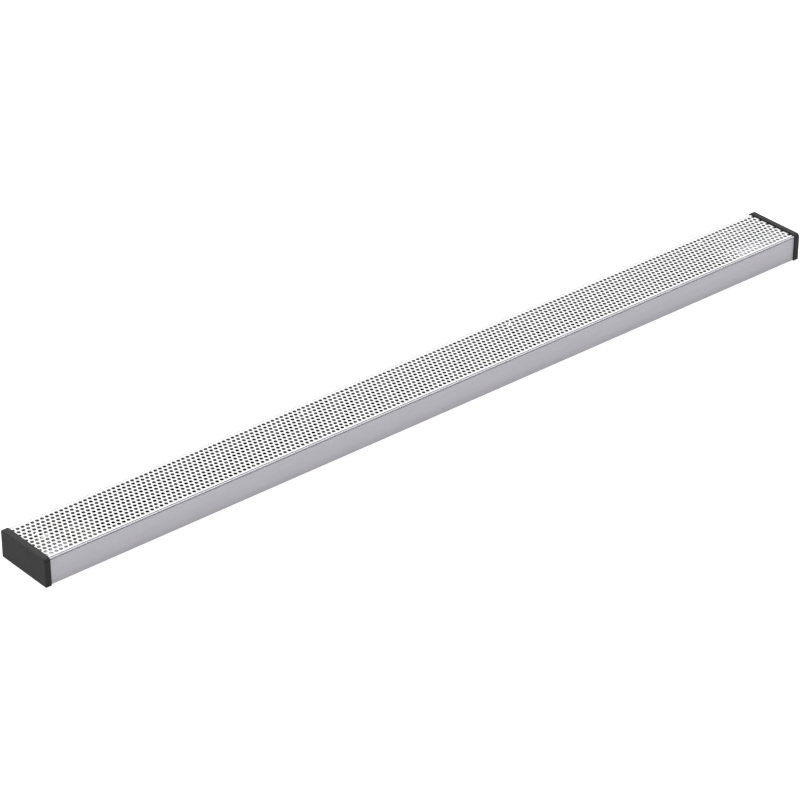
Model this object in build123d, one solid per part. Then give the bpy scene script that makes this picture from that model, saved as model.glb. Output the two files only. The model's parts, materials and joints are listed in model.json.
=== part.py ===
from build123d import *
import os

# Low electric baseboard convector, 1.8 m long. Millimetres, +Z up, X along the length and
# -Y towards the room. The origin is the bottom centre of the box round the whole heater.

# Overall sizes
overall_length = 1800.0
overall_depth = 128.0
overall_height = 56.0

# End caps: how far each stands proud of the housing, and their own shape
cap_length = 12.0
cap_proud_front = 3.0
cap_proud_rear = 3.0
cap_proud_top = 3.5
cap_proud_bottom = 0.5
cap_top_radius = 7.0
cap_bottom_radius = 1.2
cap_edge_radius = 1.0
cap_wall = 3.0
cap_seat = 1.5
peg_radius = 3.0
peg_reach = 4.0
peg_clearance = 0.3
peg_from_middle = 36.0
pocket_corner_radius = 1.5

# Housing extrusion
wall = 1.8
front_rim = 2.0
rear_rim = 1.9
front_edge_radius = 1.0
rear_edge_radius = 0.6
foot_edge_radius = 0.6
groove_drop = 1.8
groove_height = 1.5
groove_depth = 1.2
ledge_thickness = 1.8
ledge_width = 5.0
port_radius = 3.3
port_bore_radius = 1.7
port_web = 4.0
port_inset = 3.4
port_slit = 1.4

# Perforated grille
grille_thickness = 0.8
grille_front_gap = 2.1
grille_rear_gap = 0.7
grille_end_gap = 0.6
grille_end_margin = 2.4
hole_diameter = 7.2
hole_pitch = 10.0
row_pitch = 9.8
grille_front_margin = 8.2
grille_rear_margin = 8.2
strip_thickness = 0.6
strip_width = 3.5
strip_inset = 0.6
rest_gap = 0.1

# End plates behind the caps
end_plate_thickness = 1.5
end_plate_inset = 2.0
tapping_screw_radius = 1.6
tapping_screw_length = 14.0
tapping_head_radius = 3.0
tapping_head_height = 2.2
head_edge_radius = 0.8
recess_length = 3.4
recess_width = 0.8
recess_depth = 1.2
screw_clearance = 0.2
plate_corner_radius = 1.0

# Finned heating element, a hairpin lying flat
sheath_radius = 4.0
tube_from_fin_edge = 17.0
finned_length = 1480.0
hairpin_end_margin = 20.0
fin_pitch = 15.0
fin_thickness = 0.5
fin_side_gap = 10.4
fin_bottom_gap = 0.7
fin_top_gap = 9.3
fin_clearance = 0.05
fin_bracket_margin = 5.0
cold_end_length = 18.0
seal_radius = 2.8
seal_length = 6.0
pin_radius = 1.6
pin_length = 13.0

# Brackets, heat shield and their fixings
bracket_count = 4
bracket_spacing = 400.0
bracket_thickness = 1.2
bracket_foot = 14.0
bracket_side_gap = 4.4
foot_side_gap = 3.0
sheet_corner_radius = 2.0
bracket_top_margin = 5.0
bracket_clearance = 0.3
spacer_radius = 5.0
spacer_height = 4.0
shield_thickness = 0.6
shield_wall_gap = 10.2
shield_side = 20.0
shield_end_gap = 8.0
fixing_from_edge = 13.0
machine_screw_radius = 2.0
machine_head_radius = 3.8
nut_across_flats = 7.0
nut_height = 3.2
thread_end = 1.5
driver_slot_length = 5.0
driver_slot_width = 0.9
driver_slot_depth = 0.7
thread_clearance = 0.05
hole_clearance = 0.25

# Air slots in the floor of the housing and in the heat shield
slot_length = 56.0
slot_width = 9.0
slot_gap = 14.0
slot_from_middle = 14.0
shield_slot_margin = 1.5

# Wiring compartment at the left end
compartment_length = 108.0
divider_thickness = 1.2
divider_gap = 0.3
divider_foot = 12.0
divider_top_gap = 1.0
bushing_radius = 7.0
bushing_flange_radius = 8.5
bushing_flange = 1.5
bushing_length = 6.0
block_length = 22.0
block_width = 39.0
block_height = 17.0
block_from_end = 34.0
block_from_middle = 15.5
pole_count = 3
pole_pitch = 12.0
pole_screw_radius = 2.2
pole_screw_height = 3.5
well_depth = 5.0
barrier_width = 1.2
block_chamfer = 3.0
block_fixing_depth = 3.0
entry_height = 7.0
wire_entry_radius = 2.0
lead_radius = 1.1
lead_bend_radius = 4.0
lead_tuck = 4.0
live_lead_exit = 16.0
live_lead_reach = 32.0
live_lead_swing = 24.0
live_lead_rise = 4.0
live_lead_run = 10.0
switched_lead_run = 9.0
switched_lead_swing = 6.0
neutral_lead_run = 11.0
earth_lead_run = 9.0
lug_radius = 3.6
lug_thickness = 0.8
lug_tail = 8.0
lug_tail_width = 3.0
lug_gap = 0.3
lug_from_seal = 7.0
earth_from_end = 78.0
earth_from_wall = 12.7
cutout_radius = 8.0
cutout_depth = 9.0
cutout_flange = 0.8
cutout_from_wall = 14.7
cutout_rise = 4.0
cutout_ear_spacing = 22.0
sensor_radius = 6.5
ear_radius = 3.5
rivet_radius = 1.5
rivet_head_radius = 2.7
rivet_head_height = 0.9
tab_spacing = 8.0
tab_length = 6.0
tab_width = 3.0
tab_thickness = 0.8

# Supply cable inlet in the rear wall and its clamp
inlet_from_end = 56.0
inlet_height = 17.7
grommet_radius = 7.0
grommet_flange_radius = 9.0
grommet_outer_flange = 0.7
grommet_inner_flange = 2.0
cable_bore_radius = 4.2
clamp_from_wall = 21.7
clamp_width = 10.0
clamp_length = 27.0
clamp_screw_spacing = 19.0
clamp_gap = 0.3
clamp_roof = 1.8

# Wall fixing holes in the rear wall
wall_hole_radius = 2.75
wall_hole_spacing = 500.0
wall_hole_count = 4
wall_hole_drop = 6.5

# Worked out from the sizes above
profile_length = overall_length - 2 * cap_length
profile_end = profile_length / 2
front = -overall_depth / 2 + cap_proud_front
rear = overall_depth / 2 - cap_proud_rear
base = cap_proud_bottom
top = overall_height - cap_proud_top
floor = base + wall
inner_front = front + wall
inner_rear = rear - wall
middle = (inner_front + inner_rear) / 2
grille_bottom = top - grille_thickness
ledge_top = grille_bottom - rest_gap - strip_thickness
ledge_bottom = ledge_top - ledge_thickness
port_places = [
    (inner_front + port_inset, floor + port_inset),
    (inner_rear - port_inset, floor + port_inset),
    (inner_front + port_inset, ledge_bottom - port_inset),
    (inner_rear - port_inset, ledge_bottom - port_inset),
]
grille_end = profile_end - grille_end_gap
grille_front = front + front_rim + grille_front_gap
grille_rear = rear - rear_rim - grille_rear_gap
first_row = grille_front + grille_front_margin
row_count = 1 + int((grille_rear - grille_rear_margin - first_row) / row_pitch)
last_column = grille_end - grille_end_margin
column_count = round(2 * last_column / hole_pitch)
column_pitch = 2 * last_column / column_count
divider_x = -profile_end + compartment_length
plate_outer = profile_end + end_plate_thickness
peg_places = [(middle - peg_from_middle, (base + top) / 2), (middle + peg_from_middle, (base + top) / 2)]
shield_bottom = floor + spacer_height
foot_bottom = shield_bottom + shield_thickness
foot_top = foot_bottom + bracket_thickness
shield_depth = inner_rear - inner_front - 2 * shield_wall_gap
bracket_depth = shield_depth - 2 * (shield_thickness + bracket_side_gap)
foot_depth = bracket_depth - 2 * foot_side_gap
fixing_across = bracket_depth - 2 * fixing_from_edge
fin_depth = shield_depth - 2 * (shield_thickness + fin_side_gap)
fin_bottom = foot_top + nut_height + thread_end + fin_bottom_gap
fin_height = ledge_bottom - fin_top_gap - fin_bottom
element_height = fin_bottom + fin_height / 2
hairpin_spacing = fin_depth - 2 * tube_from_fin_edge
tube_rows = [middle - hairpin_spacing / 2, middle + hairpin_spacing / 2]
finned_start = -finned_length / 2
hairpin_x = finned_length / 2 + hairpin_end_margin
sheath_start = divider_x - cold_end_length
bracket_places = [(i - (bracket_count - 1) / 2) * bracket_spacing for i in range(bracket_count)]
fixing_rows = [middle - fixing_across / 2, middle + fixing_across / 2]
shield_start = divider_x + shield_end_gap
shield_end = hairpin_x + hairpin_spacing / 2 + sheath_radius + shield_end_gap
inlet_x, inlet_z = -profile_end + inlet_from_end, floor + inlet_height
clamp_y = inner_rear - clamp_from_wall
block_x, block_y = -profile_end + block_from_end, middle - block_from_middle
earth_x, earth_y = -profile_end + earth_from_end, inner_front + earth_from_wall
cutout_y, cutout_z = inner_rear - cutout_from_wall, (floor + ledge_bottom) / 2 + cutout_rise
wall_hole_z = ledge_bottom - port_inset - port_radius - wall_hole_drop
fixing_hole_radius = machine_screw_radius + hole_clearance
bracket_fixings = [(x + bracket_foot / 2, y) for x in bracket_places for y in fixing_rows]
divider_fixings = [(divider_x - divider_foot / 2, y) for y in fixing_rows]
clamp_fixings = [(inlet_x + side * clamp_screw_spacing / 2, clamp_y) for side in (-1, 1)]
clamp_top = inlet_z + cable_bore_radius + clamp_roof
block_top = floor + block_height
entry_z = floor + entry_height
pole_rows = [block_y + (i - (pole_count - 1) / 2) * pole_pitch for i in range(pole_count)]
lead_start = block_x + block_length / 2 - lead_tuck
lug_x = sheath_start - seal_length - lug_from_seal
earth_lug_z = floor + nut_height
ear_places = [cutout_z - cutout_ear_spacing / 2, cutout_z + cutout_ear_spacing / 2]
tab_places = [cutout_z - tab_spacing / 2, cutout_z + tab_spacing / 2]
tab_end = divider_x - cutout_depth - tab_length


def box(x0, x1, y0, y1, z0, z1):
    """A block between two corners."""
    return Pos((x0 + x1) / 2, (y0 + y1) / 2, (z0 + z1) / 2) * Box(x1 - x0, y1 - y0, z1 - z0)


def rod(start, direction, radius, length):
    """A cylinder that begins at a point and runs along a direction."""
    return extrude(Plane(origin=start, z_dir=direction) * Circle(radius), length)


def across(x, sketch):
    """A sketch drawn in Y and Z, stood up at one place along the length."""
    return Plane(origin=(x, 0, 0), x_dir=(0, 1, 0), z_dir=(1, 0, 0)) * sketch


def bore_up(x, y, z, radius, height):
    """A cutter for an upright hole, centred on a height."""
    return Pos(x, y, z) * Cylinder(radius, height)


def save(node, shapes):
    """Write one node, with every separate solid that it holds."""
    shapes = shapes if isinstance(shapes, list) else [shapes]
    solids = [solid for shape in shapes for solid in shape.solids()]
    export_step(Compound(solids) if len(solids) > 1 else solids[0], f"parts/{node}.step")


def outline(inset, corner_radius):
    """The housing's end outline, moved in by an inset, drawn in Y and Z."""
    depth, height = rear - front - 2 * inset, top - base - 2 * inset
    return Pos((front + rear) / 2, (base + top) / 2) * RectangleRounded(depth, height, corner_radius)


def air_slots(length, width, bottom, height):
    """Cutters for the two rows of air slots, in the bays between the brackets."""
    step = slot_length + slot_gap
    bays = [finned_start] + bracket_places + [-finned_start]
    cutters = []
    for left, right in zip(bays, bays[1:]):
        count = int((right - left - 2 * bracket_foot) / step)
        for i in range(count):
            x = (left + right) / 2 + (i - (count - 1) / 2) * step
            for side in (-1, 1):
                slot = Pos(x, middle + side * slot_from_middle, bottom) * SlotOverall(length, width)
                cutters.append(extrude(slot, height))
    return cutters


def floor_fixings():
    """Centres of every screw that comes up through the floor of the housing."""
    places = bracket_fixings + divider_fixings + clamp_fixings
    return places + [(block_x, block_y), (earth_x, earth_y)]


def countersunk_cut(x, y):
    """Cutter for one countersunk screw hole in the floor."""
    bore = bore_up(x, y, base + wall / 2, fixing_hole_radius, 2 * wall)
    cone = Pos(x, y, base + wall / 2) * Cone(
        machine_head_radius + hole_clearance, fixing_hole_radius, wall)
    return bore + cone


def housing_profile():
    """The extruded trough with its rims, ledges, screw ports and every hole in it."""
    section = Pos((front + rear) / 2, (base + top) / 2) * Rectangle(rear - front, top - base)
    section = fillet(section.vertices().group_by(Axis.Y)[-1].sort_by(Axis.X)[0], front_edge_radius)
    section = fillet(section.vertices().group_by(Axis.Y)[-1].sort_by(Axis.X)[-1], rear_edge_radius)
    section = fillet(section.vertices().sort_by(Axis.Y)[:2], foot_edge_radius)
    hollow_top = top + wall
    section -= Pos(middle, (floor + ledge_bottom) / 2) * Rectangle(
        inner_rear - inner_front, ledge_bottom - floor)
    mouth_front, mouth_rear = front + front_rim, rear - rear_rim
    section -= Pos((mouth_front + mouth_rear) / 2, (ledge_top + hollow_top) / 2) * Rectangle(
        mouth_rear - mouth_front, hollow_top - ledge_top)
    throat = mouth_rear - mouth_front - 2 * ledge_width
    section -= Pos((mouth_front + mouth_rear) / 2, (ledge_bottom + ledge_top) / 2) * Rectangle(
        throat, 2 * ledge_thickness)
    groove_z = top - groove_drop - groove_height / 2
    section -= Pos(front, groove_z) * Rectangle(2 * groove_depth, groove_height)
    for y, z in port_places:
        towards_wall = -1 if y < middle else 1
        web = Pos(y + towards_wall * port_inset / 2, z) * Rectangle(port_inset, port_web)
        section += Pos(y, z) * Circle(port_radius) + web
        section -= Pos(y, z) * Circle(port_bore_radius)
        section -= Pos(y - towards_wall * port_radius / 2, z) * Rectangle(port_radius, port_slit)
    body = extrude(across(0, section), profile_length / 2, both=True)
    body -= air_slots(slot_length, slot_width, base - wall, 3 * wall)
    body -= [countersunk_cut(x, y) for x, y in floor_fixings()]
    for i in range(wall_hole_count):
        x = (i - (wall_hole_count - 1) / 2) * wall_hole_spacing
        body -= rod((x, inner_rear - wall, wall_hole_z), (0, 1, 0), wall_hole_radius, 3 * wall)
    body -= rod((inlet_x, inner_rear - wall, inlet_z), (0, 1, 0), grommet_radius, 3 * wall)
    return body


def perforated_grille():
    """The flat lift-off grille; its ends pass through a column of holes."""
    radius = hole_diameter / 2
    half_mouth = (radius ** 2 - grille_end_margin ** 2) ** 0.5
    rows = [first_row + k * row_pitch for k in range(row_count)]
    right = [Vector(grille_end, grille_front)]
    edges = []
    for y in rows[::2]:
        edges.append(Line(right[-1], (grille_end, y - half_mouth)))
        edges.append(ThreePointArc(
            (grille_end, y - half_mouth), (last_column - radius, y), (grille_end, y + half_mouth)))
        right.append(Vector(grille_end, y + half_mouth))
    edges.append(Line(right[-1], (grille_end, grille_rear)))
    other_end = [mirror(edge, about=Plane.YZ) for edge in edges]
    edges.append(Line((grille_end, grille_rear), (-grille_end, grille_rear)))
    edges.append(Line((grille_end, grille_front), (-grille_end, grille_front)))
    border = Wire([edge.edge() for edge in edges + other_end])
    holes = []
    for k, y in enumerate(rows):
        first, count = (1, column_count - 1) if k % 2 == 0 else (0.5, column_count)
        for i in range(count):
            x = -last_column + (first + i) * column_pitch
            holes.append(Wire.make_circle(radius, Plane((x, y, 0))))
    return Pos(0, 0, grille_bottom) * extrude(Face(border, holes), grille_thickness, dir=(0, 0, 1))


def grille_strip(y_edge, inwards):
    """A soft rest strip glued along one ledge."""
    y0 = y_edge + inwards * strip_inset
    y1 = y0 + inwards * strip_width
    return box(-grille_end, grille_end, min(y0, y1), max(y0, y1), ledge_top, ledge_top + strip_thickness)


def end_cap():
    """The right-hand plastic cap: a shell with two pegs, open towards the housing."""
    depth, height = overall_depth, overall_height
    shape = Pos(0, height / 2) * Rectangle(depth, height)
    shape = fillet(shape.vertices().group_by(Axis.Y)[-1], cap_top_radius)
    shape = fillet(shape.vertices().sort_by(Axis.Y)[:2], cap_bottom_radius)
    block = extrude(across(profile_end, shape), cap_length)
    block = fillet(block.faces().sort_by(Axis.X)[-1].edges(), cap_edge_radius)
    pocket = across(profile_end, outline(cap_seat, pocket_corner_radius))
    block -= extrude(pocket, cap_length - cap_wall)
    length = peg_reach + cap_length - cap_wall / 2
    for y, z in peg_places:
        block += rod((profile_end - peg_reach, y, z), (1, 0, 0), peg_radius, length)
    return block


def end_plate():
    """The right-hand sheet plate that closes the housing behind the cap."""
    sheet = outline(end_plate_inset, plate_corner_radius)
    for y, z in port_places:
        sheet -= Pos(y, z) * Circle(tapping_screw_radius + screw_clearance)
    for y, z in peg_places:
        sheet -= Pos(y, z) * Circle(peg_radius + peg_clearance)
    return extrude(across(profile_end, sheet), end_plate_thickness)


def end_plate_screws():
    """The four right-hand tapping screws in the screw ports."""
    screws = []
    for y, z in port_places:
        screw = rod((plate_outer, y, z), (-1, 0, 0), tapping_screw_radius, tapping_screw_length)
        head = rod((plate_outer, y, z), (1, 0, 0), tapping_head_radius, tapping_head_height)
        head = fillet(head.edges().filter_by(GeomType.CIRCLE).sort_by(Axis.X)[-1], head_edge_radius)
        head_x = plate_outer + tapping_head_height
        for dy, dz in ((recess_width / 2, recess_length / 2), (recess_length / 2, recess_width / 2)):
            head -= box(head_x - recess_depth, head_x + recess_depth, y - dy, y + dy, z - dz, z + dz)
        screws.append(screw + head)
    return screws


def element_sheath():
    """The hairpin tube of the heating element."""
    start, back = tube_rows
    path = Line((sheath_start, start, element_height), (hairpin_x, start, element_height))
    bend = ThreePointArc(path @ 1, (hairpin_x + hairpin_spacing / 2, middle, element_height),
                         (hairpin_x, back, element_height))
    home = Line(bend @ 1, (sheath_start, back, element_height))
    section = Plane(origin=path @ 0, z_dir=(1, 0, 0)) * Circle(sheath_radius)
    return sweep(section, path=Wire([path.edge(), bend.edge(), home.edge()]))


def tube_holes(clearance, radius=sheath_radius):
    """The two round holes that a plate across the hairpin has, on the YZ plane."""
    return [Pos(y, element_height) * Circle(radius + clearance) for y in tube_rows]


def element_fins():
    """Thin plates pressed on the hairpin, left out where a bracket stands."""
    sheet = Pos(middle, element_height) * RectangleRounded(fin_depth, fin_height, sheet_corner_radius)
    sheet -= tube_holes(fin_clearance)
    fin = extrude(across(0, sheet), fin_thickness)
    count = int(finned_length / fin_pitch)
    fins = []
    for i in range(count + 1):
        x = (i - count / 2) * fin_pitch
        if all(abs(x - place) > fin_bracket_margin for place in bracket_places):
            fins.append(Pos(x - fin_thickness / 2, 0, 0) * fin)
    return fins


def element_seals():
    """The ceramic seals in the two ends of the sheath."""
    return [rod((sheath_start, y, element_height), (-1, 0, 0), seal_radius, seal_length) for y in tube_rows]


def element_pins():
    """The two threaded terminal pins that leave the seals."""
    x = sheath_start - seal_length
    return [rod((x, y, element_height), (-1, 0, 0), pin_radius, pin_length) for y in tube_rows]


def hex_nut(plane_origin, direction, bore):
    """A hexagon nut on a face, with its hole."""
    plane = Plane(origin=plane_origin, z_dir=direction)
    section = RegularPolygon(nut_across_flats / 2, 6, major_radius=False) - Circle(bore)
    return extrude(plane * section, nut_height)


def element_brackets():
    """Upright sheets that carry the hairpin, each with a foot on the heat shield."""
    height = element_height + sheath_radius + bracket_top_margin - foot_bottom
    sheet = Pos(middle, foot_bottom + height / 2) * RectangleRounded(
        bracket_depth, height, sheet_corner_radius)
    sheet -= tube_holes(bracket_clearance)
    upright = extrude(across(0, sheet), bracket_thickness / 2, both=True)
    brackets = []
    for x in bracket_places:
        y0, y1 = middle - foot_depth / 2, middle + foot_depth / 2
        bracket = Pos(x, 0, 0) * upright + box(x, x + bracket_foot, y0, y1, foot_bottom, foot_top)
        for y in fixing_rows:
            bracket -= bore_up(x + bracket_foot / 2, y, foot_bottom, fixing_hole_radius, bracket_foot / 2)
        brackets.append(bracket)
    return brackets


def bracket_spacers():
    """Ceramic spacers that hold the heat shield off the floor."""
    ring = extrude(Circle(spacer_radius) - Circle(fixing_hole_radius), spacer_height)
    return [Pos(x, y, floor) * ring for x, y in bracket_fixings]


def heat_shield():
    """A bright tray under the fins, with upturned sides and air slots."""
    y0, y1 = middle - shield_depth / 2, middle + shield_depth / 2
    shield_top = shield_bottom + shield_side
    tray = box(shield_start, shield_end, y0, y1, shield_bottom, shield_top)
    tray -= box(shield_start - 1, shield_end + 1, y0 + shield_thickness, y1 - shield_thickness,
                foot_bottom, shield_top + 1)
    margin = 2 * shield_slot_margin
    tray -= air_slots(slot_length + margin, slot_width + margin, shield_bottom - shield_thickness,
                      3 * shield_thickness)
    tray -= [bore_up(x, y, shield_bottom, fixing_hole_radius, 4 * shield_thickness)
             for x, y in bracket_fixings]
    return tray


def floor_screw(x, y, length):
    """A countersunk machine screw whose head is flush with the underside."""
    shank = rod((x, y, base), (0, 0, 1), machine_screw_radius, length)
    head = Pos(x, y, base + wall / 2) * Cone(machine_head_radius, machine_screw_radius, wall)
    slot = box(x - driver_slot_length / 2, x + driver_slot_length / 2, y - driver_slot_width / 2,
               y + driver_slot_width / 2, base - driver_slot_depth, base + driver_slot_depth)
    return shank + head - slot


def floor_nut(x, y, z):
    """A nut that faces up on a floor screw."""
    return hex_nut((x, y, z), (0, 0, 1), machine_screw_radius + thread_clearance)


def bracket_screws():
    """Screws through floor, spacer, shield and foot."""
    length = foot_top - base + nut_height + thread_end
    return [floor_screw(x, y, length) for x, y in bracket_fixings]


def bracket_nuts():
    """Nuts on the bracket feet."""
    return [floor_nut(x, y, foot_top) for x, y in bracket_fixings]


def compartment_divider():
    """The sheet bulkhead between the wiring compartment and the heated length."""
    y0, y1 = inner_front + divider_gap, inner_rear - divider_gap
    z1 = ledge_bottom - divider_top_gap
    sheet = Pos((y0 + y1) / 2, (floor + z1) / 2) * Rectangle(y1 - y0, z1 - floor)
    notch = 2 * (port_inset + port_radius + divider_gap)
    for y in (inner_front, inner_rear):
        for z in (floor, ledge_bottom):
            sheet -= Pos(y, z) * Rectangle(notch, notch)
    sheet -= tube_holes(hole_clearance, bushing_radius)
    sheet -= Pos(cutout_y, cutout_z) * Circle(sensor_radius + hole_clearance)
    for z in ear_places:
        sheet -= Pos(cutout_y, z) * Circle(rivet_radius + thread_clearance)
    plate = extrude(across(divider_x, sheet), divider_thickness)
    plate += box(divider_x - divider_foot, divider_x, y0 + notch, y1 - notch, floor,
                 floor + divider_thickness)
    plate -= [bore_up(x, y, floor, fixing_hole_radius, 4 * divider_thickness) for x, y in divider_fixings]
    return plate


def divider_bushings():
    """Insulating bushings where the hairpin's cold ends pass the bulkhead."""
    bushings = []
    for y in tube_rows:
        start = (divider_x - bushing_flange, y, element_height)
        bushing = rod(start, (1, 0, 0), bushing_radius, bushing_length)
        bushing += rod(start, (1, 0, 0), bushing_flange_radius, bushing_flange)
        bushing -= rod((divider_x - bushing_length, y, element_height), (1, 0, 0),
                       sheath_radius + fin_clearance, 3 * bushing_length)
        bushings.append(bushing)
    return bushings


def divider_screws():
    """Screws that hold the bulkhead's foot."""
    length = wall + divider_thickness + nut_height + thread_end
    return [floor_screw(x, y, length) for x, y in divider_fixings]


def divider_nuts():
    """Nuts on the bulkhead's foot."""
    return [floor_nut(x, y, floor + divider_thickness) for x, y in divider_fixings]


def block_screw_places():
    """Centres of the clamping screws of the terminal block."""
    return [(block_x + side * block_length / 5, y) for y in pole_rows for side in (-1, 1)]


def terminal_block():
    """A three-pole block with wire entries at both sides and screw wells on top."""
    x0, x1 = block_x - block_length / 2, block_x + block_length / 2
    y0, y1 = block_y - block_width / 2, block_y + block_width / 2
    block = box(x0, x1, y0, y1, floor, block_top)
    block = chamfer(block.edges().filter_by(Axis.Y).group_by(Axis.Z)[-1], block_chamfer)
    for y in pole_rows:
        block -= rod((x0 - 1, y, entry_z), (1, 0, 0), wire_entry_radius, block_length + 2)
    for x, y in block_screw_places():
        block -= bore_up(x, y, block_top, pole_screw_radius + hole_clearance, 2 * well_depth)
    for y in pole_rows[1:]:
        y -= pole_pitch / 2
        block -= box(x0 - 1, x1 + 1, y - barrier_width / 2, y + barrier_width / 2,
                     block_top - well_depth, block_top + 1)
    return block - bore_up(block_x, block_y, floor, fixing_hole_radius, 2 * block_fixing_depth)


def terminal_screws():
    """The clamping screws in the wells of the terminal block."""
    z0 = block_top - well_depth
    z1 = z0 + pole_screw_height
    screws = []
    for x, y in block_screw_places():
        slot = box(x - pole_pitch / 2, x + pole_pitch / 2, y - driver_slot_width / 2,
                   y + driver_slot_width / 2, z1 - driver_slot_depth, z1 + 1)
        screws.append(rod((x, y, z0), (0, 0, 1), pole_screw_radius, pole_screw_height) - slot)
    return screws


def terminal_block_screw():
    """The screw that holds the terminal block from below."""
    return floor_screw(block_x, block_y, wall + block_fixing_depth - hole_clearance)


def earth_screw():
    """The earth stud: a floor screw that is long enough for two nuts and the lug."""
    return floor_screw(earth_x, earth_y, wall + 2 * nut_height + lug_thickness + thread_end)


def earth_nuts():
    """A nut under the earth lug and one above it."""
    return [floor_nut(earth_x, earth_y, floor), floor_nut(earth_x, earth_y, earth_lug_z + lug_thickness)]


def thermal_cutout():
    """The round overheat limiter, flanged on the bulkhead with its sensing face through it."""
    body = rod((divider_x, cutout_y, cutout_z), (-1, 0, 0), cutout_radius, cutout_depth)
    body += rod((divider_x, cutout_y, cutout_z), (1, 0, 0), sensor_radius, divider_thickness + 1)
    ears = Pos(cutout_y, cutout_z) * SlotOverall(
        cutout_ear_spacing + 2 * ear_radius, 2 * ear_radius, rotation=90)
    for z in ear_places:
        ears -= Pos(cutout_y, z) * Circle(rivet_radius + thread_clearance)
    return body + extrude(across(divider_x, ears), -cutout_flange)


def cutout_rivets():
    """The two rivets through the limiter's ears."""
    rivets = []
    for z in ear_places:
        near, far = divider_x - cutout_flange, divider_x + divider_thickness
        rivet = rod((near, cutout_y, z), (1, 0, 0), rivet_radius, far - near)
        rivet += rod((near, cutout_y, z), (-1, 0, 0), rivet_head_radius, rivet_head_height)
        rivets.append(rivet + rod((far, cutout_y, z), (1, 0, 0), rivet_head_radius, rivet_head_height))
    return rivets


def cutout_tabs():
    """The limiter's two push-on tabs."""
    x = divider_x - cutout_depth - tab_length / 2
    return [Pos(x, cutout_y, z) * Box(tab_length, tab_width, tab_thickness) for z in tab_places]


def pin_nuts():
    """The nuts that clamp the ring lugs on the element's pins."""
    return [hex_nut((lug_x - lug_thickness, y, element_height), (-1, 0, 0), pin_radius + thread_clearance)
            for y in tube_rows]


def ring_lug(plane, bore):
    """A ring lug on a plane, with a tail along the plane's X."""
    shape = Circle(lug_radius) + Pos(lug_tail / 2, 0) * Rectangle(lug_tail, lug_tail_width)
    return extrude(plane * (shape - Circle(bore)), lug_thickness)


def ring_lugs():
    """The lugs of the neutral, switched and earth leads."""
    bore = pin_radius + thread_clearance
    lugs = []
    for y, tail in zip(tube_rows, ((0, 0, -1), (0, 1, 0))):
        plane = Plane(origin=(lug_x, y, element_height), x_dir=tail, z_dir=(-1, 0, 0))
        lugs.append(ring_lug(plane, bore))
    plane = Plane(origin=(earth_x, earth_y, earth_lug_z), x_dir=(-1, 0, 0), z_dir=(0, 0, 1))
    return lugs + [ring_lug(plane, machine_screw_radius + thread_clearance)]


def lead(*points):
    """A round insulated lead of straight runs joined by tangent arcs."""
    path = FilletPolyline(*points, radius=lead_bend_radius)
    return sweep(Plane(origin=path @ 0, z_dir=path % 0) * Circle(lead_radius), path=path)


def live_lead():
    """From the rear pole of the block to the limiter's lower tab."""
    y, z = pole_rows[2], tab_places[0]
    x = tab_end - live_lead_run
    return lead((lead_start, y, entry_z), (lead_start + live_lead_exit, y, entry_z),
                (lead_start + live_lead_reach, y + live_lead_swing, entry_z),
                (x, cutout_y, entry_z + live_lead_rise), (x, cutout_y, z), (tab_end, cutout_y, z))


def switched_lead():
    """From the limiter's upper tab to the rear pin's lug."""
    y, z = tube_rows[1] + lug_tail + lug_gap, tab_places[1]
    x = lug_x - lug_thickness / 2
    return lead((tab_end, cutout_y, z), (tab_end - switched_lead_run, cutout_y, z),
                (x, cutout_y - switched_lead_swing, element_height), (x, y, element_height))


def neutral_lead():
    """From the middle pole of the block to the front pin's lug."""
    x, z = lug_x - lug_thickness / 2, element_height - lug_tail - lug_gap
    return lead((lead_start, pole_rows[1], entry_z), (x - neutral_lead_run, pole_rows[1], entry_z),
                (x, tube_rows[0], entry_z), (x, tube_rows[0], z))


def earth_lead():
    """From the front pole of the block to the earth stud's lug."""
    x, z = earth_x - lug_tail - lug_gap, earth_lug_z + lug_thickness / 2
    return lead((lead_start, pole_rows[0], entry_z), (lead_start + earth_lead_run, pole_rows[0], entry_z),
                (x - earth_lead_run, earth_y, z), (x, earth_y, z))


def inlet_grommet():
    """A rubber grommet in the rear wall, with a bore for the supply cable."""
    start = inner_rear - grommet_inner_flange
    grommet = rod((inlet_x, start, inlet_z), (0, 1, 0), grommet_flange_radius, grommet_inner_flange)
    grommet += rod((inlet_x, start, inlet_z), (0, 1, 0), grommet_radius - thread_clearance,
                   grommet_inner_flange + wall)
    grommet += rod((inlet_x, rear, inlet_z), (0, 1, 0), grommet_flange_radius, grommet_outer_flange)
    return grommet - cable_cut()


def cable_cut():
    """Cutter for the supply cable's way through the grommet and the clamp."""
    return rod((inlet_x, clamp_y - clamp_width, inlet_z), (0, 1, 0), cable_bore_radius, overall_depth)


def clamp_part(z0, z1):
    """One half of the cable clamp, with its groove and its two screw holes."""
    part = box(inlet_x - clamp_length / 2, inlet_x + clamp_length / 2, clamp_y - clamp_width / 2,
               clamp_y + clamp_width / 2, z0, z1)
    part -= [bore_up(x, y, z0, fixing_hole_radius, 2 * inlet_z) for x, y in clamp_fixings]
    return part - cable_cut()


def clamp_screws():
    """The two screws of the cable clamp, from below."""
    return [floor_screw(x, y, clamp_top - base + nut_height + thread_end) for x, y in clamp_fixings]


def clamp_nuts():
    """The nuts on the cable clamp."""
    return [floor_nut(x, y, clamp_top) for x, y in clamp_fixings]


def both_ends(shapes):
    """The right-hand pieces, and the same pieces mirrored to the left-hand end."""
    shapes = shapes if isinstance(shapes, list) else [shapes]
    return shapes, [mirror(shape, about=Plane.YZ) for shape in shapes]


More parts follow.
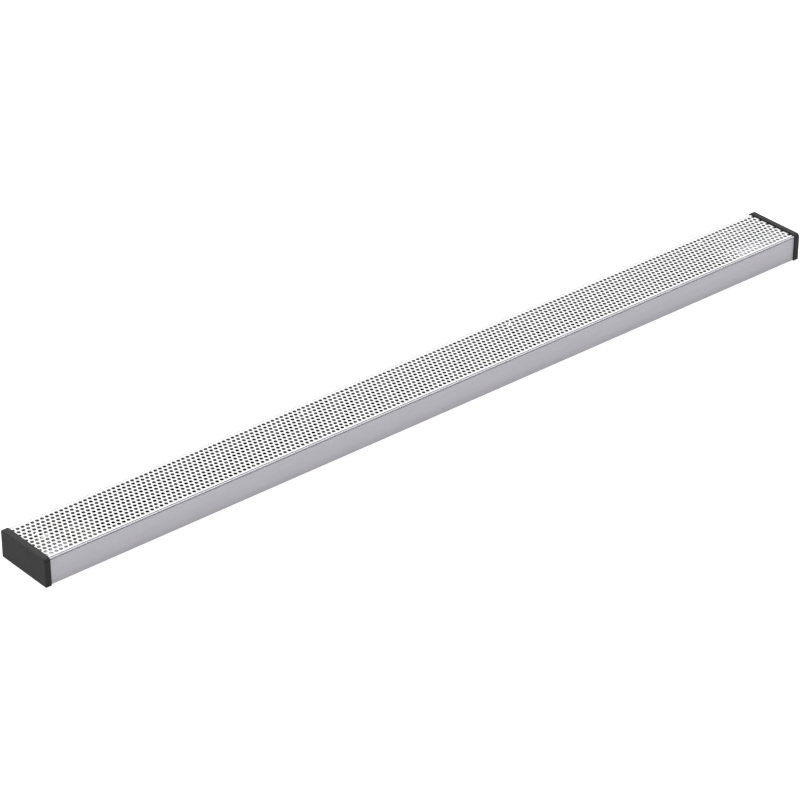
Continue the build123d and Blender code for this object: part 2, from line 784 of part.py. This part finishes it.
os.makedirs("parts", exist_ok=True)
cap_right, cap_left = both_ends(end_cap())
plate_right, plate_left = both_ends(end_plate())
screws_right, screws_left = both_ends(end_plate_screws())
save("housing_profile", housing_profile())
save("perforated_grille", perforated_grille())
save("grille_rest_strips", [grille_strip(front + front_rim, 1), grille_strip(rear - rear_rim, -1)])
save("end_cap_left", cap_left)
save("end_cap_right", cap_right)
save("end_plate_left", plate_left)
save("end_plate_right", plate_right)
save("end_plate_screws", screws_left + screws_right)
save("element_sheath", element_sheath())
save("element_fins", element_fins())
save("element_seals", element_seals())
save("element_pins", element_pins())
save("pin_nuts", pin_nuts())
save("element_brackets", element_brackets())
save("bracket_spacers", bracket_spacers())
save("bracket_screws", bracket_screws())
save("bracket_nuts", bracket_nuts())
save("heat_shield", heat_shield())
save("compartment_divider", compartment_divider())
save("divider_bushings", divider_bushings())
save("divider_screws", divider_screws())
save("divider_nuts", divider_nuts())
save("terminal_block", terminal_block())
save("terminal_screws", terminal_screws())
save("terminal_block_screw", terminal_block_screw())
save("earth_screw", earth_screw())
save("earth_nuts", earth_nuts())
save("thermal_cutout", thermal_cutout())
save("cutout_rivets", cutout_rivets())
save("cutout_tabs", cutout_tabs())
save("ring_lugs", ring_lugs())
save("live_lead", live_lead())
save("switched_lead", switched_lead())
save("neutral_lead", neutral_lead())
save("earth_lead", earth_lead())
save("inlet_grommet", inlet_grommet())
save("cable_clamp_base", clamp_part(floor, inlet_z - clamp_gap))
save("cable_clamp_saddle", clamp_part(inlet_z + clamp_gap, clamp_top))
save("clamp_screws", clamp_screws())
save("clamp_nuts", clamp_nuts())
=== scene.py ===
import json
import math

import bpy
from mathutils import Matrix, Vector


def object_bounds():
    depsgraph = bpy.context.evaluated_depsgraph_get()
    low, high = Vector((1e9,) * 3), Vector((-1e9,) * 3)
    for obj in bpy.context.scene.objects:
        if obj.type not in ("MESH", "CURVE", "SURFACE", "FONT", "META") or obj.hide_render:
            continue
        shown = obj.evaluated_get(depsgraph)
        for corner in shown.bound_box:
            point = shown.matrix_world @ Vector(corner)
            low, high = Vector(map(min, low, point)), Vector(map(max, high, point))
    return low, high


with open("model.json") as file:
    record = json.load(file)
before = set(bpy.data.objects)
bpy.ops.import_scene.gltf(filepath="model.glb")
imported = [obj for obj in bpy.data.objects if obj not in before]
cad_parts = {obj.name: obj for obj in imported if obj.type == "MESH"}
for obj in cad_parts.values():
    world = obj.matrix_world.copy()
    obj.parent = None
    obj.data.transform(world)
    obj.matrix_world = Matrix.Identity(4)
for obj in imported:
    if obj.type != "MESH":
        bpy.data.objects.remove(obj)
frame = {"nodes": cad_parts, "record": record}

cad_low, cad_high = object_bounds()
length, depth, height = cad_high - cad_low

# Camera: a long lens that looks down on the front left corner
CAMERA_AZIMUTH = math.radians(40.311)
CAMERA_ELEVATION = math.radians(30.535)
CAMERA_DISTANCE = 6.337
CAMERA_AIM = Vector((-0.02806 * length, 0.1744 * depth, 0.0494 * height))
LENS = 156.278
SENSOR = 36.0

# Sky, one broad light and a glowing floor, in the scene's own radiance
SKY_HORIZON = 0.15
SKY_ZENITH = 0.30
KEY_LIGHT_AZIMUTH = 0.0
KEY_LIGHT_ELEVATION = math.radians(72.0)
KEY_LIGHT_SPREAD = math.radians(30.0)
KEY_LIGHT_STRENGTH = 6.4
FLOOR_SIZE = 60.0  # metres, past the edge of every view
FLOOR_GREY = 0.30
FLOOR_GLOW = 0.92
FLOOR_ROUGHNESS = 0.9
FLOOR_SPECULAR = 0.1
WHITE = (1.0, 1.0, 1.0, 1.0)

# Where the middle of a noise texture's values lies
NOISE_LOW = 0.3
NOISE_HIGH = 0.7


class Shader:
    """A small helper that builds one node material."""

    def __init__(self, name, color, roughness, metallic=0.0, specular=0.5):
        self.material = bpy.data.materials.new(name)
        self.material.use_nodes = True
        self.tree = self.material.node_tree
        self.surface = self.tree.nodes["Principled BSDF"]
        self.color = color
        self.roughness = roughness
        self.surface.inputs["Base Color"].default_value = (*color, 1.0)
        self.surface.inputs["Roughness"].default_value = roughness
        self.surface.inputs["Metallic"].default_value = metallic
        self.surface.inputs["Specular IOR Level"].default_value = specular
        self.coordinates = self.tree.nodes.new("ShaderNodeTexCoord").outputs["Object"]

    def link(self, output, target):
        self.tree.links.new(output, target)

    def noise(self, scale, detail=3.0, roughness=0.5):
        """Noise at a scale per metre along X, Y and Z."""
        mapping = self.tree.nodes.new("ShaderNodeMapping")
        mapping.inputs["Scale"].default_value = scale
        self.link(self.coordinates, mapping.inputs["Vector"])
        noise = self.tree.nodes.new("ShaderNodeTexNoise")
        noise.inputs["Scale"].default_value = 1.0
        noise.inputs["Detail"].default_value = detail
        noise.inputs["Roughness"].default_value = roughness
        self.link(mapping.outputs["Vector"], noise.inputs["Vector"])
        return noise.outputs["Fac"]

    def spread(self, value, low, high):
        """Spreads the middle of a noise over a range."""
        node = self.tree.nodes.new("ShaderNodeMapRange")
        node.inputs["From Min"].default_value = NOISE_LOW
        node.inputs["From Max"].default_value = NOISE_HIGH
        node.inputs["To Min"].default_value = low
        node.inputs["To Max"].default_value = high
        self.link(value, node.inputs["Value"])
        return node.outputs["Result"]

    def tint(self, value, share, other=None):
        """Varies the base colour by a share up and down, or towards another colour."""
        mix = self.tree.nodes.new("ShaderNodeMix")
        mix.data_type = "RGBA"
        low = [channel * (1 - share) for channel in self.color]
        high = other or [min(1.0, channel * (1 + share)) for channel in self.color]
        mix.inputs["A"].default_value = (*low, 1.0)
        mix.inputs["B"].default_value = (*high, 1.0)
        self.link(self.spread(value, 0.0, 1.0), mix.inputs["Factor"])
        self.link(mix.outputs["Result"], self.surface.inputs["Base Color"])

    def vary_roughness(self, value, share):
        low, high = self.roughness * (1 - share), self.roughness * (1 + share)
        self.link(self.spread(value, low, high), self.surface.inputs["Roughness"])

    def bump(self, value, distance, strength=1.0):
        node = self.tree.nodes.new("ShaderNodeBump")
        node.inputs["Distance"].default_value = distance
        node.inputs["Strength"].default_value = strength
        self.link(value, node.inputs["Height"])
        self.link(node.outputs["Normal"], self.surface.inputs["Normal"])


def anodised_aluminium():
    """Satin anodised extrusion with faint die lines along its length."""
    shader = Shader("anodised_aluminium", (0.475, 0.467, 0.505), 0.5, metallic=0.1, specular=0.25)
    lines = shader.noise((2.0, 700.0, 700.0), detail=2.0)
    shader.tint(lines, 0.03)
    shader.vary_roughness(shader.noise((30.0, 60.0, 60.0)), 0.12)
    shader.bump(lines, 0.00002, 0.4)
    return shader.material


def grille_sheet():
    """Satin sheet with a short rolled grain."""
    shader = Shader("grille_sheet", (0.49, 0.49, 0.493), 0.5, metallic=0.05, specular=0.25)
    grain = shader.noise((120.0, 1500.0, 1500.0), detail=2.0)
    shader.tint(grain, 0.02)
    shader.vary_roughness(shader.noise((40.0, 40.0, 40.0)), 0.1)
    shader.bump(grain, 0.00001, 0.3)
    return shader.material


def cap_plastic():
    """Dark grey moulded plastic with a fine spark-eroded grain."""
    shader = Shader("cap_plastic", (0.026, 0.026, 0.026), 0.6, specular=0.1)
    grain = shader.noise((2200.0, 2200.0, 2200.0), detail=4.0, roughness=0.6)
    shader.tint(shader.noise((25.0, 25.0, 25.0)), 0.06)
    shader.vary_roughness(grain, 0.15)
    shader.bump(grain, 0.00005, 0.35)
    return shader.material


def zinc_steel():
    """Zinc plate with its faint clouding."""
    shader = Shader("zinc_steel", (0.58, 0.58, 0.55), 0.36, metallic=1.0)
    cloud = shader.noise((90.0, 90.0, 90.0))
    shader.tint(cloud, 0.08, other=(0.60, 0.60, 0.50))
    shader.vary_roughness(cloud, 0.2)
    shader.bump(shader.noise((1400.0, 1400.0, 1400.0)), 0.00002, 0.3)
    return shader.material


def bright_aluminium():
    """Rolled sheet, dulled by the heat."""
    shader = Shader("bright_aluminium", (0.17, 0.17, 0.172), 0.4, metallic=0.8)
    grain = shader.noise((40.0, 900.0, 900.0))
    shader.tint(grain, 0.04)
    shader.vary_roughness(grain, 0.2)
    shader.bump(grain, 0.00002, 0.3)
    return shader.material


def black_fins():
    """Sheet with a matte black heat-resistant coating."""
    shader = Shader("black_fins", (0.008, 0.008, 0.008), 0.7, specular=0.2)
    shader.tint(shader.noise((60.0, 60.0, 60.0)), 0.15)
    skin = shader.noise((1300.0, 1300.0, 1300.0))
    shader.vary_roughness(skin, 0.1)
    shader.bump(skin, 0.00002, 0.3)
    return shader.material


def sheath_steel():
    """Stainless tube, blued a little where it runs hot."""
    shader = Shader("sheath_steel", (0.36, 0.35, 0.35), 0.34, metallic=1.0)
    shader.tint(shader.noise((18.0, 40.0, 40.0)), 0.1, other=(0.34, 0.29, 0.24))
    shader.vary_roughness(shader.noise((300.0, 300.0, 300.0)), 0.2)
    shader.bump(shader.noise((20.0, 1200.0, 1200.0)), 0.00002, 0.3)
    return shader.material


def ceramic():
    """Unglazed steatite."""
    shader = Shader("ceramic", (0.80, 0.77, 0.70), 0.62)
    speck = shader.noise((1600.0, 1600.0, 1600.0), detail=5.0)
    shader.tint(speck, 0.05)
    shader.vary_roughness(speck, 0.1)
    shader.bump(speck, 0.00004, 0.4)
    return shader.material


def block_plastic():
    """Pale polyamide moulding."""
    shader = Shader("block_plastic", (0.72, 0.70, 0.63), 0.45)
    flow = shader.noise((120.0, 120.0, 120.0))
    shader.tint(flow, 0.03)
    shader.vary_roughness(flow, 0.15)
    shader.bump(shader.noise((1800.0, 1800.0, 1800.0)), 0.00003, 0.3)
    return shader.material


def cutout_plastic():
    """Black phenolic with a low sheen."""
    shader = Shader("cutout_plastic", (0.02, 0.02, 0.022), 0.32)
    flow = shader.noise((200.0, 200.0, 200.0))
    shader.tint(flow, 0.2)
    shader.vary_roughness(flow, 0.2)
    shader.bump(shader.noise((1800.0, 1800.0, 1800.0)), 0.00002, 0.3)
    return shader.material


def brass():
    """Bare brass with a slight tarnish."""
    shader = Shader("brass", (0.72, 0.52, 0.24), 0.3, metallic=1.0)
    tarnish = shader.noise((260.0, 260.0, 260.0))
    shader.tint(tarnish, 0.05, other=(0.58, 0.42, 0.22))
    shader.vary_roughness(tarnish, 0.25)
    shader.bump(shader.noise((2000.0, 2000.0, 2000.0)), 0.00002, 0.3)
    return shader.material


def soft_rubber():
    """Matte black rubber."""
    shader = Shader("soft_rubber", (0.022, 0.022, 0.022), 0.8, specular=0.3)
    skin = shader.noise((1500.0, 1500.0, 1500.0))
    shader.tint(shader.noise((60.0, 60.0, 60.0)), 0.15)
    shader.vary_roughness(skin, 0.08)
    shader.bump(skin, 0.00005, 0.4)
    return shader.material


def insulation(name, color, other=None):
    """PVC insulation of one colour, or with a stripe of another along the lead."""
    shader = Shader(name, color, 0.42)
    if other:
        stripe = shader.noise((8.0, 500.0, 500.0), detail=0.0)
        shader.tint(stripe, 0.0, other=other)
    else:
        shader.tint(shader.noise((80.0, 80.0, 80.0)), 0.06)
    shader.bump(shader.noise((1800.0, 1800.0, 1800.0)), 0.00002, 0.3)
    return shader.material


def dress_nodes():
    """Gives every CAD node the procedural material of its slot in the record."""
    finishes = {
        "anodised_aluminium": anodised_aluminium(),
        "grille_sheet": grille_sheet(),
        "cap_plastic": cap_plastic(),
        "zinc_steel": zinc_steel(),
        "bright_aluminium": bright_aluminium(),
        "black_fins": black_fins(),
        "sheath_steel": sheath_steel(),
        "ceramic": ceramic(),
        "block_plastic": block_plastic(),
        "cutout_plastic": cutout_plastic(),
        "brass": brass(),
        "soft_rubber": soft_rubber(),
        "brown_lead": insulation("brown_lead", (0.13, 0.05, 0.025)),
        "blue_lead": insulation("blue_lead", (0.03, 0.11, 0.40)),
        "green_yellow_lead": insulation(
            "green_yellow_lead", (0.06, 0.26, 0.04), other=(0.75, 0.62, 0.04)),
    }
    for part in frame["record"]["subparts"]:
        node = frame["nodes"][part["node"]]
        node.data.materials.clear()
        node.data.materials.append(finishes[part["material_slot"]])


def heading(azimuth, elevation):
    """A unit direction, with azimuth from +Y towards +X."""
    level = math.cos(elevation)
    return Vector((math.sin(azimuth) * level, math.cos(azimuth) * level, math.sin(elevation)))


def add_camera():
    """The camera at the end of its line of sight to the aim point."""
    data = bpy.data.cameras.new("camera")
    data.lens = LENS
    data.sensor_width = SENSOR
    camera = bpy.data.objects.new("camera", data)
    bpy.context.scene.collection.objects.link(camera)
    sight = heading(CAMERA_AZIMUTH, -CAMERA_ELEVATION)
    camera.location = CAMERA_AIM - sight * CAMERA_DISTANCE
    camera.rotation_euler = sight.to_track_quat("-Z", "Y").to_euler()
    bpy.context.scene.camera = camera


def add_floor():
    """A white light table that the heater stands on."""
    mesh = bpy.data.meshes.new("floor")
    half = FLOOR_SIZE / 2
    corners = [(-half, -half, 0), (half, -half, 0), (half, half, 0), (-half, half, 0)]
    mesh.from_pydata([Vector(c) + Vector((0, 0, cad_low.z)) for c in corners], [], [(0, 1, 2, 3)])
    floor = bpy.data.objects.new("floor", mesh)
    bpy.context.scene.collection.objects.link(floor)
    grey = (FLOOR_GREY, FLOOR_GREY, FLOOR_GREY)
    shader = Shader("floor", grey, FLOOR_ROUGHNESS, specular=FLOOR_SPECULAR)
    shader.surface.inputs["Emission Color"].default_value = WHITE
    shader.surface.inputs["Emission Strength"].default_value = FLOOR_GLOW
    mesh.materials.append(shader.material)


def add_light():
    """A dim sky that is brighter overhead, and one broad, even light from above and a little behind."""
    world = bpy.data.worlds.new("studio")
    bpy.context.scene.world = world
    world.use_nodes = True
    tree = world.node_tree
    background = tree.nodes["Background"]
    direction = tree.nodes.new("ShaderNodeTexCoord").outputs["Generated"]
    split = tree.nodes.new("ShaderNodeSeparateXYZ")
    tree.links.new(direction, split.inputs["Vector"])
    level = tree.nodes.new("ShaderNodeMapRange")
    level.inputs["To Min"].default_value = SKY_HORIZON
    level.inputs["To Max"].default_value = SKY_ZENITH
    tree.links.new(split.outputs["Z"], level.inputs["Value"])
    tree.links.new(level.outputs["Result"], background.inputs["Strength"])
    background.inputs["Color"].default_value = WHITE
    light = bpy.data.lights.new("key_light", "SUN")
    light.angle = KEY_LIGHT_SPREAD
    light.energy = KEY_LIGHT_STRENGTH
    lamp = bpy.data.objects.new("key_light", light)
    beam = -heading(KEY_LIGHT_AZIMUTH, KEY_LIGHT_ELEVATION)
    lamp.rotation_euler = beam.to_track_quat("-Z", "Y").to_euler()
    bpy.context.scene.collection.objects.link(lamp)


bpy.context.scene.view_settings.view_transform = "Standard"
add_camera()
add_floor()
add_light()
dress_nodes()
